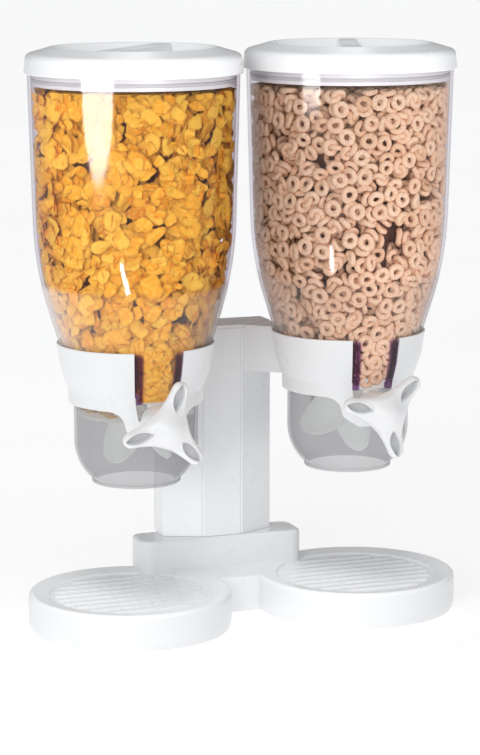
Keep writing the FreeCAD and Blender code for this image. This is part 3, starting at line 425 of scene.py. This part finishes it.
def sculpt_knob(side):
    """One skin over a polar grid: domed hub, lobes swept back, a lens-shaped hollow in each."""
    node = f"{side}_knob"
    shaft = centre(f"{side}_drive_shaft")
    low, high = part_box(node)
    hub_back = high.y
    depth = high.y - low.y
    turn = knob_turn(node, shaft)
    angles = np.arange(KNOB_SECTORS) * 2 * math.pi / KNOB_SECTORS
    outline = knob_outline(angles)
    steps = np.linspace(0, 1, KNOB_STEPS + 1)[1:]
    steps = 1 - (1 - steps) ** 1.35
    grid_x = np.outer(steps, outline * np.cos(angles))
    grid_y = np.outer(steps, outline * np.sin(angles))
    front, back, hollow_and_shade = knob_surfaces(grid_x, grid_y)
    middle_front, middle_back, _ = (float(h[0]) for h in knob_surfaces(np.zeros(1), np.zeros(1)))
    squeeze = min(1.0, depth / MM / (middle_front + 0.05))

    def lay(x, y, height):
        rx = x * math.cos(turn) - y * math.sin(turn)
        rz = x * math.sin(turn) + y * math.cos(turn)
        return np.stack([shaft.x + rx * MM, hub_back - height * squeeze * MM, shaft.z + rz * MM], -1)

    rows = [
        lay(grid_x, grid_y, front).reshape(-1, 3),
        lay(grid_x[:-1], grid_y[:-1], back[:-1]).reshape(-1, 3),
    ]
    poles = [lay(0.0, 0.0, middle_front), lay(0.0, 0.0, middle_back)]
    vertices = np.vstack(rows + [np.array(poles)])
    count = KNOB_SECTORS
    back_start = KNOB_STEPS * count
    pole = back_start + (KNOB_STEPS - 1) * count
    faces = []
    for i in range(count):
        j = (i + 1) % count
        faces.append((pole, i, j))
        faces.append((pole + 1, back_start + j, back_start + i))
        for row in range(KNOB_STEPS - 1):
            a, b = row * count, (row + 1) * count
            faces.append((a + i, b + i, b + j, a + j))
            c = back_start + a
            d = back_start + b if row < KNOB_STEPS - 2 else (KNOB_STEPS - 1) * count
            faces.append((c + j, d + j, d + i, c + i))
    piece = new_piece(f"{side}_knob_sculpted", vertices, faces, KNOB_WHITE, f"{side}_wheel")
    # Each lobe's hollow is stored for the knob material, which paints shade there.
    store(piece, "hollow_and_shade", np.concatenate([hollow_and_shade.ravel(), 0 * hollow_and_shade[:-1].ravel(), [0, 0]]))
    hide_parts(node)


# ---------------------------------------------------------------- cereal

# Radius of the ball kept free round each wheel's middle, and the angle in degrees from which an edge is sharp.
WHEEL_SWEEP = 0.0468
FLAKE_EDGE = 38


class Bin:
    """The inside of one canister, as the reach from its axis to the wall by direction and height."""

    AZIMUTHS = 240
    HEIGHTS = 160

    def __init__(self, side):
        node = frame["nodes"][f"{side}_canister"]
        corners = [v.co for v in node.data.vertices]
        tree = BVHTree.FromPolygons(corners, [p.vertices for p in node.data.polygons])
        low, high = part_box(f"{side}_canister")
        shaft = centre(f"{side}_drive_shaft")
        self.axis = Vector((shaft.x, centre(f"{side}_chute").y, 0))
        self.low, self.high = low.z + 0.0005, high.z - 0.001
        self.shaft_height = shaft.z
        self.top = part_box(f"{side}_lid")[0].z - 0.0025
        self.reach = np.zeros((self.AZIMUTHS, self.HEIGHTS))
        for i in range(self.AZIMUTHS):
            angle = 2 * math.pi * i / self.AZIMUTHS
            direction = Vector((math.cos(angle), math.sin(angle), 0))
            for k, height in enumerate(np.linspace(self.low, self.high, self.HEIGHTS)):
                hit = tree.ray_cast(Vector((self.axis.x, self.axis.y, height)), direction)
                self.reach[i, k] = hit[3] if hit[3] else 0.0

    def wall(self, points):
        """Reach to the wall in each point's direction and height."""
        angle = np.arctan2(points[:, 1] - self.axis.y, points[:, 0] - self.axis.x) % (2 * math.pi)
        i = np.round(angle * self.AZIMUTHS / (2 * math.pi)).astype(int) % self.AZIMUTHS
        k = (points[:, 2] - self.low) / (self.high - self.low) * (self.HEIGHTS - 1)
        k0 = np.clip(np.floor(k).astype(int), 0, self.HEIGHTS - 2)
        part = np.clip(k - k0, 0, 1)
        return self.reach[i, k0] * (1 - part) + self.reach[i, k0 + 1] * part

    def radius(self, points):
        return np.hypot(points[:, 0] - self.axis.x, points[:, 1] - self.axis.y)

    def scatter(self, rng, count, depth):
        """Random points in the layer of that depth inside the wall, evenly by volume."""
        found = []
        total = 0
        while total < count:
            size = 40000
            points = np.column_stack([
                self.axis.x + rng.uniform(-0.08, 0.08, size), self.axis.y + rng.uniform(-0.08, 0.08, size),
                rng.uniform(self.low, self.top, size),
            ])
            reach, radius = self.wall(points), self.radius(points)
            near_top = points[:, 2] > self.top - depth
            good = (radius < reach - 0.002) & ((radius > reach - depth) | near_top)
            good &= self.clear_of_wheel(points, 0.002)
            found.append(points[good])
            total += int(good.sum())
        return np.vstack(found)[:count]

    def rib_layer(self, rng, count, gap):
        """Points just behind the rib's front wall."""
        angle = rng.uniform(-11, 11, count) * math.pi / 180
        out = np.column_stack([np.sin(angle), -np.cos(angle)])
        height = rng.uniform(self.low + gap, self.low + 0.042, count)
        ray = np.column_stack([self.axis.x + out[:, 0], self.axis.y + out[:, 1], height])
        reach = self.wall(ray) - gap
        return np.column_stack([self.axis.x + out[:, 0] * reach, self.axis.y + out[:, 1] * reach, height])

    def clear_of_wheel(self, points, margin):
        offset = points - np.array([self.axis.x, self.axis.y, self.shaft_height])
        return np.linalg.norm(offset, axis=1) > WHEEL_SWEEP + margin

    def keep_inside(self, points, gap):
        """Points moved in from the wall, down from the lid and out of the space that the wheel sweeps."""
        points = points.copy()
        hub = np.array([self.axis.x, self.axis.y, self.shaft_height])
        offset = points - hub
        length = np.linalg.norm(offset, axis=1)
        near = length < WHEEL_SWEEP + gap
        points[near] = hub + offset[near] * ((WHEEL_SWEEP + gap) / length[near])[:, None]
        points[:, 2] = np.clip(points[:, 2], self.low + gap, self.top - gap)
        radius = self.radius(points)
        limit = np.maximum(self.wall(points) - gap, 0.001)
        over = radius > limit
        centre_xy = np.array([self.axis.x, self.axis.y])
        points[over, :2] = centre_xy + (points[over, :2] - centre_xy) * (limit[over] / radius[over])[:, None]
        return points


def random_turns(rng, count):
    """Random rotation matrices, evenly spread."""
    q = rng.normal(size=(count, 4))
    q /= np.linalg.norm(q, axis=1, keepdims=True)
    w, x, y, z = q.T
    return np.stack([
        np.stack([1 - 2 * (y * y + z * z), 2 * (x * y - z * w), 2 * (x * z + y * w)], -1),
        np.stack([2 * (x * y + z * w), 1 - 2 * (x * x + z * z), 2 * (y * z - x * w)], -1),
        np.stack([2 * (x * z - y * w), 2 * (y * z + x * w), 1 - 2 * (x * x + y * y)], -1),
    ], 1)


def close_pairs(points, reach):
    """Index pairs of points closer than reach, found through a grid of cells that wide."""
    cells = np.floor(points / reach).astype(np.int64)
    cells -= cells.min(0) - 1
    span = cells.max(0) + 2
    key = (cells[:, 0] * span[1] + cells[:, 1]) * span[2] + cells[:, 2]
    order = np.argsort(key, kind="stable")
    ranked = key[order]
    pairs = []
    steps = [(x, y, z) for x in (-1, 0, 1) for y in (-1, 0, 1) for z in (-1, 0, 1)]
    for x, y, z in steps:
        near = key + (x * span[1] + y) * span[2] + z
        start = np.searchsorted(ranked, near, "left")
        count = np.searchsorted(ranked, near, "right") - start
        first = np.repeat(np.arange(len(points)), count)
        run = np.arange(count.sum()) - np.repeat(np.cumsum(count) - count, count)
        second = order[np.repeat(start, count) + run]
        keep = first < second
        first, second = first[keep], second[keep]
        gap = points[first] - points[second]
        keep = (gap * gap).sum(1) < reach * reach
        pairs.append(np.column_stack([first[keep], second[keep]]))
    return np.vstack(pairs)


RING_RADIUS = 4.3 * MM
RING_TUBE = 2.3 * MM
RING_BEADS = 8


def settle_rings(store_bin, centres, turns, passes, drop):
    """Push overlapping rings apart. Each ring is a circle of beads that keeps its shape."""
    angles = np.arange(RING_BEADS) * 2 * math.pi / RING_BEADS
    shape = np.column_stack([np.cos(angles), np.sin(angles), np.zeros(RING_BEADS)]) * RING_RADIUS
    owner = np.repeat(np.arange(len(centres)), RING_BEADS)
    for _ in range(passes):
        beads = (np.einsum("nij,bj->nbi", turns, shape) + centres[:, None]).reshape(-1, 3)
        outward = beads[:, :2] - np.array([store_bin.axis.x, store_bin.axis.y])
        beads[:, :2] += outward * (drop / np.linalg.norm(outward, axis=1))[:, None]
        pairs = close_pairs(beads, RING_TUBE * 2)
        pairs = pairs[owner[pairs[:, 0]] != owner[pairs[:, 1]]]
        gap = beads[pairs[:, 0]] - beads[pairs[:, 1]]
        length = np.linalg.norm(gap, axis=1) + 1e-9
        push = gap * ((RING_TUBE * 2 - length) / length * 0.5)[:, None]
        move = np.zeros_like(beads)
        hits = np.ones(len(beads))
        for column, sign in ((0, 1), (1, -1)):
            for axis in range(3):
                move[:, axis] += np.bincount(pairs[:, column], push[:, axis] * sign, len(beads))
            hits += np.bincount(pairs[:, column], minlength=len(beads)) * 0.35
        beads = store_bin.keep_inside(beads + move / hits[:, None] * 1.4, RING_TUBE)
        beads = beads.reshape(-1, RING_BEADS, 3)
        centres = beads.mean(1)
        spread = np.einsum("nbi,bj->nij", beads - centres[:, None], shape)
        spread += turns @ np.diag([0, 0, 1]) * (RING_RADIUS ** 2)
        u, _, vt = np.linalg.svd(spread)
        flip = np.sign(np.linalg.det(u @ vt))
        u[:, :, 2] *= flip[:, None]
        turns = u @ vt
    return centres, turns


def ring_templates(rng, count, around=14, through=8):
    """Slightly uneven rings, each as vertices, with the faces that they share."""
    a, b = np.meshgrid(np.arange(around), np.arange(through), indexing="ij")
    big, small = a * 2 * math.pi / around, b * 2 * math.pi / through
    templates = []
    for _ in range(count):
        phase = rng.uniform(0, 2 * math.pi, 4)
        tube = RING_TUBE * (1 + 0.07 * np.sin(2 * big + phase[0]) + 0.05 * np.sin(3 * big + small + phase[1]))
        radius = RING_RADIUS * (1 + 0.05 * np.sin(big * 2 + phase[2]))
        bend = 0.5 * MM * np.sin(2 * big + phase[3])
        flat = radius + tube * np.cos(small)
        height = tube * np.sin(small) * 0.95 + bend
        ring = np.stack([flat * np.cos(big), flat * np.sin(big), height], -1)
        templates.append(ring.reshape(-1, 3))
    faces = []
    for i in range(around):
        for j in range(through):
            i2, j2 = (i + 1) % around, (j + 1) % through
            faces.append((i * through + j, i2 * through + j, i2 * through + j2, i * through + j2))
    return templates, np.array(faces)


def flake_templates(rng, count, around=13, rings=3):
    """Curled, blistered flakes about 1 mm thick and 1 unit in radius, with shared faces and rim values."""
    templates = []
    angles = np.arange(around) * 2 * math.pi / around
    for _ in range(count):
        amount = rng.uniform(0.03, 0.13, 3)
        phase = rng.uniform(0, 2 * math.pi, 7)
        edge = 1 + sum(amount[k] * np.sin((k + 2) * angles + phase[k]) for k in range(3))
        stretch = rng.uniform(0.5, 1.0)
        curl, twist = rng.uniform(0.0, 0.55) ** 1.2, rng.uniform(-0.25, 0.25)
        skins = []
        for side in (1, -1):
            points = [(0.0, 0.0, 0.0, 0.0)]
            for ring in range(1, rings + (1 if side == 1 else 0)):
                share = ring / rings
                for angle, reach in zip(angles, edge):
                    out = reach * share
                    points.append((out * math.cos(angle), out * math.sin(angle) * stretch, share, angle))
            skin = np.array(points)
            x, y, share, angle = skin.T
            z = curl * (x * x) - 0.12 * curl * y * y + twist * x * y
            z = z + 0.045 * np.sin(4.1 * x + phase[3]) * np.cos(4.7 * y + phase[4])
            z = z + 0.05 * np.sin(3 * angle + phase[6]) * share * share
            thick = 0.04 * (1 - share ** 6)
            skins.append(np.column_stack([x, y, z + side * thick, share]))
        templates.append(np.vstack(skins))
    top, faces = 1 + around * rings, []
    for i in range(around):
        j = (i + 1) % around
        faces += [(0, 1 + i, 1 + j), (top, top + 1 + j, top + 1 + i)]
        for ring in range(rings - 1):
            a, b = 1 + ring * around, 1 + (ring + 1) * around
            faces += [(a + i, b + i, b + j), (a + i, b + j, a + j)]
            c = top + a
            d = top + b if ring < rings - 2 else b
            faces += [(c + j, d + j, d + i), (c + j, d + i, c + i)]
    return templates, np.array(faces)


def heap(name, templates, faces, picks, sizes, centres, turns, tones, clamp, material, body,
         sharp=None):
    """Many copies of a few templates as one piece, kept inside their container."""
    vertices, all_faces, toast, rim = [], [], [], []
    start = 0
    for pick, size, place, turn, tone in zip(picks, sizes, centres, turns, tones):
        shape = templates[pick]
        vertices.append(shape[:, :3] * size @ turn.T + place)
        all_faces.append(faces + start)
        toast.append(np.full(len(shape), tone))
        rim.append(shape[:, 3] if shape.shape[1] > 3 else np.zeros(len(shape)))
        start += len(shape)
    vertices = clamp(np.vstack(vertices))
    piece = new_piece(name, vertices, np.vstack(all_faces).tolist(), material, body, sharp)
    store(piece, "toast", np.concatenate(toast))
    store(piece, "rim", np.concatenate(rim))
    return piece


def core(side, store_bin, depth, material):
    """The hidden middle of the fill: a lumpy solid that stands back from the modelled layer."""
    rows, around = 46, 72
    low = store_bin.shaft_height + WHEEL_SWEEP + 0.006
    heights = np.linspace(low, store_bin.top - depth * 0.7, rows)
    vertices = []
    for k, height in enumerate(heights):
        for i in range(around):
            angle = 2 * math.pi * i / around
            probe = np.array([[store_bin.axis.x + math.cos(angle + 0.7) * 0.01,
                               store_bin.axis.y + abs(math.sin(angle)) * 0.01, height]])
            lump = 0.0016 * math.sin(9 * angle + k * 1.3) * math.sin(k * 0.9 + 4 * angle)
            reach = float(store_bin.wall(probe)[0]) - depth + lump
            x = store_bin.axis.x + reach * math.cos(angle)
            y = store_bin.axis.y + reach * math.sin(angle)
            vertices.append((x, y, height))
    faces = [tuple(range(around))[::-1], tuple((rows - 1) * around + i for i in range(around))]
    for k in range(rows - 1):
        for i in range(around):
            j = (i + 1) % around
            faces.append((k * around + i, k * around + j, (k + 1) * around + j, (k + 1) * around + i))
    return new_piece(f"{side}_cereal_core", vertices, faces, material, f"{side}_hopper")


def layers(centres, count=3):
    """Split a fill into layers from the top down, so that no piece is too heavy."""
    rank = np.argsort(np.argsort(-centres[:, 2])) * count // len(centres)
    return [(f"layer_{number + 1}", rank == number) for number in range(count)]


def facing_out(store_bin, centres, turns, lean):
    """Turn the third axis of each matrix outwards, less so the greater its lean."""
    outward = centres - np.array([store_bin.axis.x, store_bin.axis.y, 0])
    outward[:, 2] = 0
    outward /= np.linalg.norm(outward, axis=1, keepdims=True)
    normal = turns[:, :, 2]
    normal = np.where((normal * outward).sum(1, keepdims=True) < 0, -normal, normal)
    return aligned(normal * lean[:, None] + outward * (1.15 - lean[:, None]), turns[:, :, 0])


def aligned(normal, along):
    """Rotation matrices with that third axis."""
    normal = normal / np.linalg.norm(normal, axis=1, keepdims=True)
    second = np.cross(normal, along)
    second /= np.linalg.norm(second, axis=1, keepdims=True)
    return np.stack([np.cross(second, normal), second, normal], -1)


def fill_with_rings(side, rng):
    """Oat rings, pushed apart where they overlap."""
    store_bin = Bin(side)
    count, in_rib = 2150, 16
    passes, drop = 70, 0.04 * MM
    centres = np.vstack([store_bin.scatter(rng, count, 0.021), store_bin.rib_layer(rng, in_rib, 0.0028)])
    lean = np.concatenate([rng.uniform(0.3, 1.15, count), np.zeros(in_rib)])
    turns = facing_out(store_bin, centres, random_turns(rng, count + in_rib), lean)
    centres, turns = settle_rings(store_bin, centres, turns, passes, drop)
    templates, faces = ring_templates(rng, 8)
    material = oat_ring()
    for layer, chosen in layers(centres):
        number = int(chosen.sum())
        heap(f"{side}_oat_rings_{layer}", templates, faces, rng.integers(0, 8, number),
             rng.uniform(0.95, 1.05, number), centres[chosen], turns[chosen], rng.beta(2, 3, number),
             lambda points: store_bin.keep_inside(points, 0.0003), material,
             f"{side}_hopper")
    # The ring core's colours are the oat tan darkened: painted shade.
    core(side, store_bin, 0.019, cereal_core("ring_core", (0.45, 0.23, 0.13), (0.12, 0.05, 0.03), 95))


def fill_with_flakes(side, rng):
    """Corn flakes, scattered and free to overlap, with a portion of them on the wheel below."""
    store_bin = Bin(side)
    count, in_rib = 3750, 70
    centres = np.vstack([store_bin.scatter(rng, count, 0.017), store_bin.rib_layer(rng, in_rib, 0.0018)])
    lean = np.concatenate([rng.beta(1.4, 1.6, count), rng.uniform(0.2, 0.8, in_rib)])
    turns = facing_out(store_bin, centres, random_turns(rng, count + in_rib), lean)
    templates, faces = flake_templates(rng, 20)
    sizes = rng.lognormal(math.log(7.0 * MM), 0.3, count + in_rib).clip(4.5 * MM, 11.5 * MM)
    sizes[count:] *= 0.65
    tones = rng.beta(1.8, 2.6, count + in_rib)
    picks = rng.integers(0, 20, count + in_rib)
    material = corn_flake()
    for layer, chosen in layers(centres):
        heap(f"{side}_corn_flakes_{layer}", templates, faces, picks[chosen], sizes[chosen], centres[chosen],
             turns[chosen], tones[chosen], lambda points: store_bin.keep_inside(points, 0.0004), material,
             f"{side}_hopper", FLAKE_EDGE)
    # The flake core's colours are the flake gold darkened: painted shade.
    core(side, store_bin, 0.0155, cereal_core("flake_core", (0.45, 0.18, 0.018), (0.12, 0.04, 0.005), 80))
    fill_wheel_pocket(side, rng, templates, faces, material)


def fill_wheel_pocket(side, rng, templates, faces, material):
    """A portion of flakes lying on the vane that points out to the left."""
    hub = np.array(centre(f"{side}_drive_shaft"))
    hub[1] = centre(f"{side}_chute").y
    points = np.array([v.co for v in frame["nodes"][f"{side}_paddle_wheel"].data.vertices]) - hub
    far = np.hypot(points[:, 0], points[:, 2]) > 0.04
    phase = np.angle(np.exp(6j * np.arctan2(points[far, 2], points[far, 0])).sum()) / 6
    vanes = phase + np.arange(6) * math.pi / 3
    vane = vanes[np.argmin(np.cos(vanes))]
    out = np.array([math.cos(vane), 0, math.sin(vane)])
    up = np.array([-out[2], 0, out[0]]) * -1
    count = 170
    away = 0.044 * np.sqrt(rng.uniform(0.06, 1.0, count))
    rise = rng.uniform(0.0022, 0.021, count)
    along = rng.uniform(-0.036, 0.036, count)
    centres = hub + away[:, None] * out + rise[:, None] * up + np.column_stack([0 * along, along, 0 * along])
    turns = random_turns(rng, count)
    turns = aligned(turns[:, :, 2] * 0.35 + up, turns[:, :, 0])

    def keep_in_pocket(points):
        local = points - hub
        reach, height = local @ out, local @ up
        height = np.clip(height, 0.0014, 0.022)
        reach = np.clip(reach, 0.009 + 0.2 * height, np.sqrt(0.0428 ** 2 - height ** 2))
        limit = np.sqrt(np.clip(0.0438 ** 2 - reach ** 2 - height ** 2, 0, None))
        depth = np.clip(local[:, 1], -np.minimum(limit, 0.036), np.minimum(limit, 0.036))
        sideways = np.column_stack([0 * depth, depth, 0 * depth])
        return hub + reach[:, None] * out + height[:, None] * up + sideways

    heap(f"{side}_portion_of_flakes", templates, faces, rng.integers(0, 20, count),
         rng.uniform(5.0, 7.5, count) * MM, centres, turns, rng.beta(1.8, 2.6, count), keep_in_pocket,
         material, f"{side}_wheel", FLAKE_EDGE)


# ---------------------------------------------------------------- stage, light and camera

def stage_floor():
    """A wide pale floor just under the feet, bright enough to meet the room without an edge."""
    look = Look("pale_floor")
    base = look.ramp(look.noise(3, 2), [(0.3, 0.90), (0.7, 0.92)])
    shader = look.add("BsdfPrincipled", {
        "Base Color": base, "Roughness": 0.9, "Emission Color": (1, 1, 1, 1), "Emission Strength": 0.43,
    })
    material = look.end(shader.outputs[0])
    mesh = bpy.data.meshes.new("floor")
    half = 20.0
    corners = [(-half, -half, 0), (half, -half, 0), (half, half, 0), (-half, half, 0)]
    mesh.from_pydata(corners, [], [(0, 1, 2, 3)])
    mesh.materials.append(material)
    floor = bpy.data.objects.new("floor", mesh)
    floor.location.z = CAD_BOX[0].z - 0.0002
    bpy.context.scene.collection.objects.link(floor)


def stage_world():
    """A room that is bright overhead and in front of the object, and dim behind it."""
    world = bpy.data.worlds.new("studio")
    world.use_nodes = True
    bpy.context.scene.world = world
    tree = world.node_tree
    place = tree.nodes.new("ShaderNodeTexCoord")
    lean = tree.nodes.new("ShaderNodeVectorMath")
    lean.operation = "DOT_PRODUCT"
    lean.inputs[1].default_value = (-0.20, -0.22, 0.32)
    tree.links.new(place.outputs["Generated"], lean.inputs[0])
    strength = tree.nodes.new("ShaderNodeMath")
    strength.operation = "ADD"
    strength.inputs[1].default_value = 0.37
    tree.links.new(lean.outputs["Value"], strength.inputs[0])
    tree.links.new(strength.outputs[0], tree.nodes["Background"].inputs["Strength"])
    tree.nodes["Background"].inputs["Color"].default_value = (0.98, 0.99, 1.0, 1)


def soft_light(name, place, turn, width, height, power, shape="RECTANGLE", only=()):
    """An area lamp. turn is the point it faces. With only, it lights nothing but those objects."""
    light = bpy.data.lights.new(name, "AREA")
    light.shape, light.size, light.size_y, light.energy = shape, width, height, power
    lamp = bpy.data.objects.new(name, light)
    bpy.context.scene.collection.objects.link(lamp)
    lamp.location = place
    lamp.rotation_euler = (Vector(turn) - Vector(place)).to_track_quat("-Z", "Y").to_euler()
    lamp.visible_camera = False
    if only:
        lit = bpy.data.collections.new(f"{name}_lights")
        for lit_object in only:
            lit.objects.link(lit_object)
        lamp.light_linking.receiver_collection = lit
    return lamp


def studio():
    """One key lamp for everything, and small lamps that each light one kind of surface."""
    middle = (CAD_BOX[0] + CAD_BOX[1]) / 2
    stage_floor()
    stage_world()
    nodes = frame["nodes"]
    soft_light("key", (-1.45, -1.85, 0.70), middle, 1.1, 1.1, 10)
    soft_light("lid_light", (-0.15, -2.00, 0.30), (0, 0, 0.43), 1.0, 0.3, 18,
               only=[nodes[f"{side}_{part}"] for side in SIDES for part in ("lid", "lid_seal")])
    for side in SIDES:
        dish = centre(f"{side}_lid")
        soft_light(f"{side}_dish_light", (dish.x, dish.y, dish.z + 0.085), dish, 0.05, 0.05, 0.025,
                   only=[nodes[f"{side}_lid"]])
    soft_light("tray_light", (-0.30, -0.55, 1.60), (0, -0.02, 0), 0.6, 0.6, 11, only=[nodes["base"]])
    soft_light("column_light", (-1.00, -0.90, 0.30), (0, 0, 0.15), 0.4, 0.4, 3.5, only=[nodes["column"]])
    flakes = [piece for piece in bpy.data.objects if "_flakes" in piece.name]
    rings = [piece for piece in bpy.data.objects if "_rings" in piece.name]
    soft_light("flake_light", (-0.90, -1.60, 0.60), middle, 0.4, 0.4, 13, only=flakes)
    soft_light("ring_light", (0.90, -1.70, 0.60), middle, 0.4, 0.4, 12, only=rings)
    left_wall, right_wall = ([nodes[f"{side}_canister"]] for side in SIDES)
    soft_light("window_left", (-1.14, -0.68, 0.275), (-0.09, -0.06, 0.275), 0.80, 0.22, 17, "ELLIPSE",
               left_wall)
    soft_light("window_right", (-1.06, -0.535, 0.29), (0.09, -0.06, 0.29), 0.46, 0.09, 3.6,
               only=right_wall)
    strip = soft_light("strip", (-0.43, -0.56, 0.012), (-0.43, -0.56, 1.0), 0.36, 0.05, 5,
                       only=left_wall + right_wall)
    strip.rotation_euler = (math.pi, 0, math.atan2(0.35, 0.34))


def camera():
    """A long lens. Angles are in radians, and the focal length is in heights of the sensor."""
    azimuth, elevation = -0.354, 0.178
    distance = 2.1248
    focal = 3.614570
    back = Vector((math.sin(azimuth) * math.cos(elevation), -math.cos(azimuth) * math.cos(elevation),
                   math.sin(elevation)))
    target = Vector((-0.00274, 0.0039, 0.190303))
    data = bpy.data.cameras.new("camera")
    data.sensor_fit, data.sensor_height = "VERTICAL", 36.0
    data.lens = focal * data.sensor_height
    data.clip_end = 60.0
    viewer = bpy.data.objects.new("camera", data)
    bpy.context.scene.collection.objects.link(viewer)
    viewer.location = target + back * distance
    viewer.rotation_euler = (-back).to_track_quat("-Z", "Y").to_euler()
    bpy.context.scene.camera = viewer


finish_cad_nodes()
for side in SIDES:
    sculpt_knob(side)
fill_with_flakes("left", np.random.default_rng(11))
fill_with_rings("right", np.random.default_rng(23))
studio()
camera()
bpy.context.scene.view_settings.view_transform = "Standard"
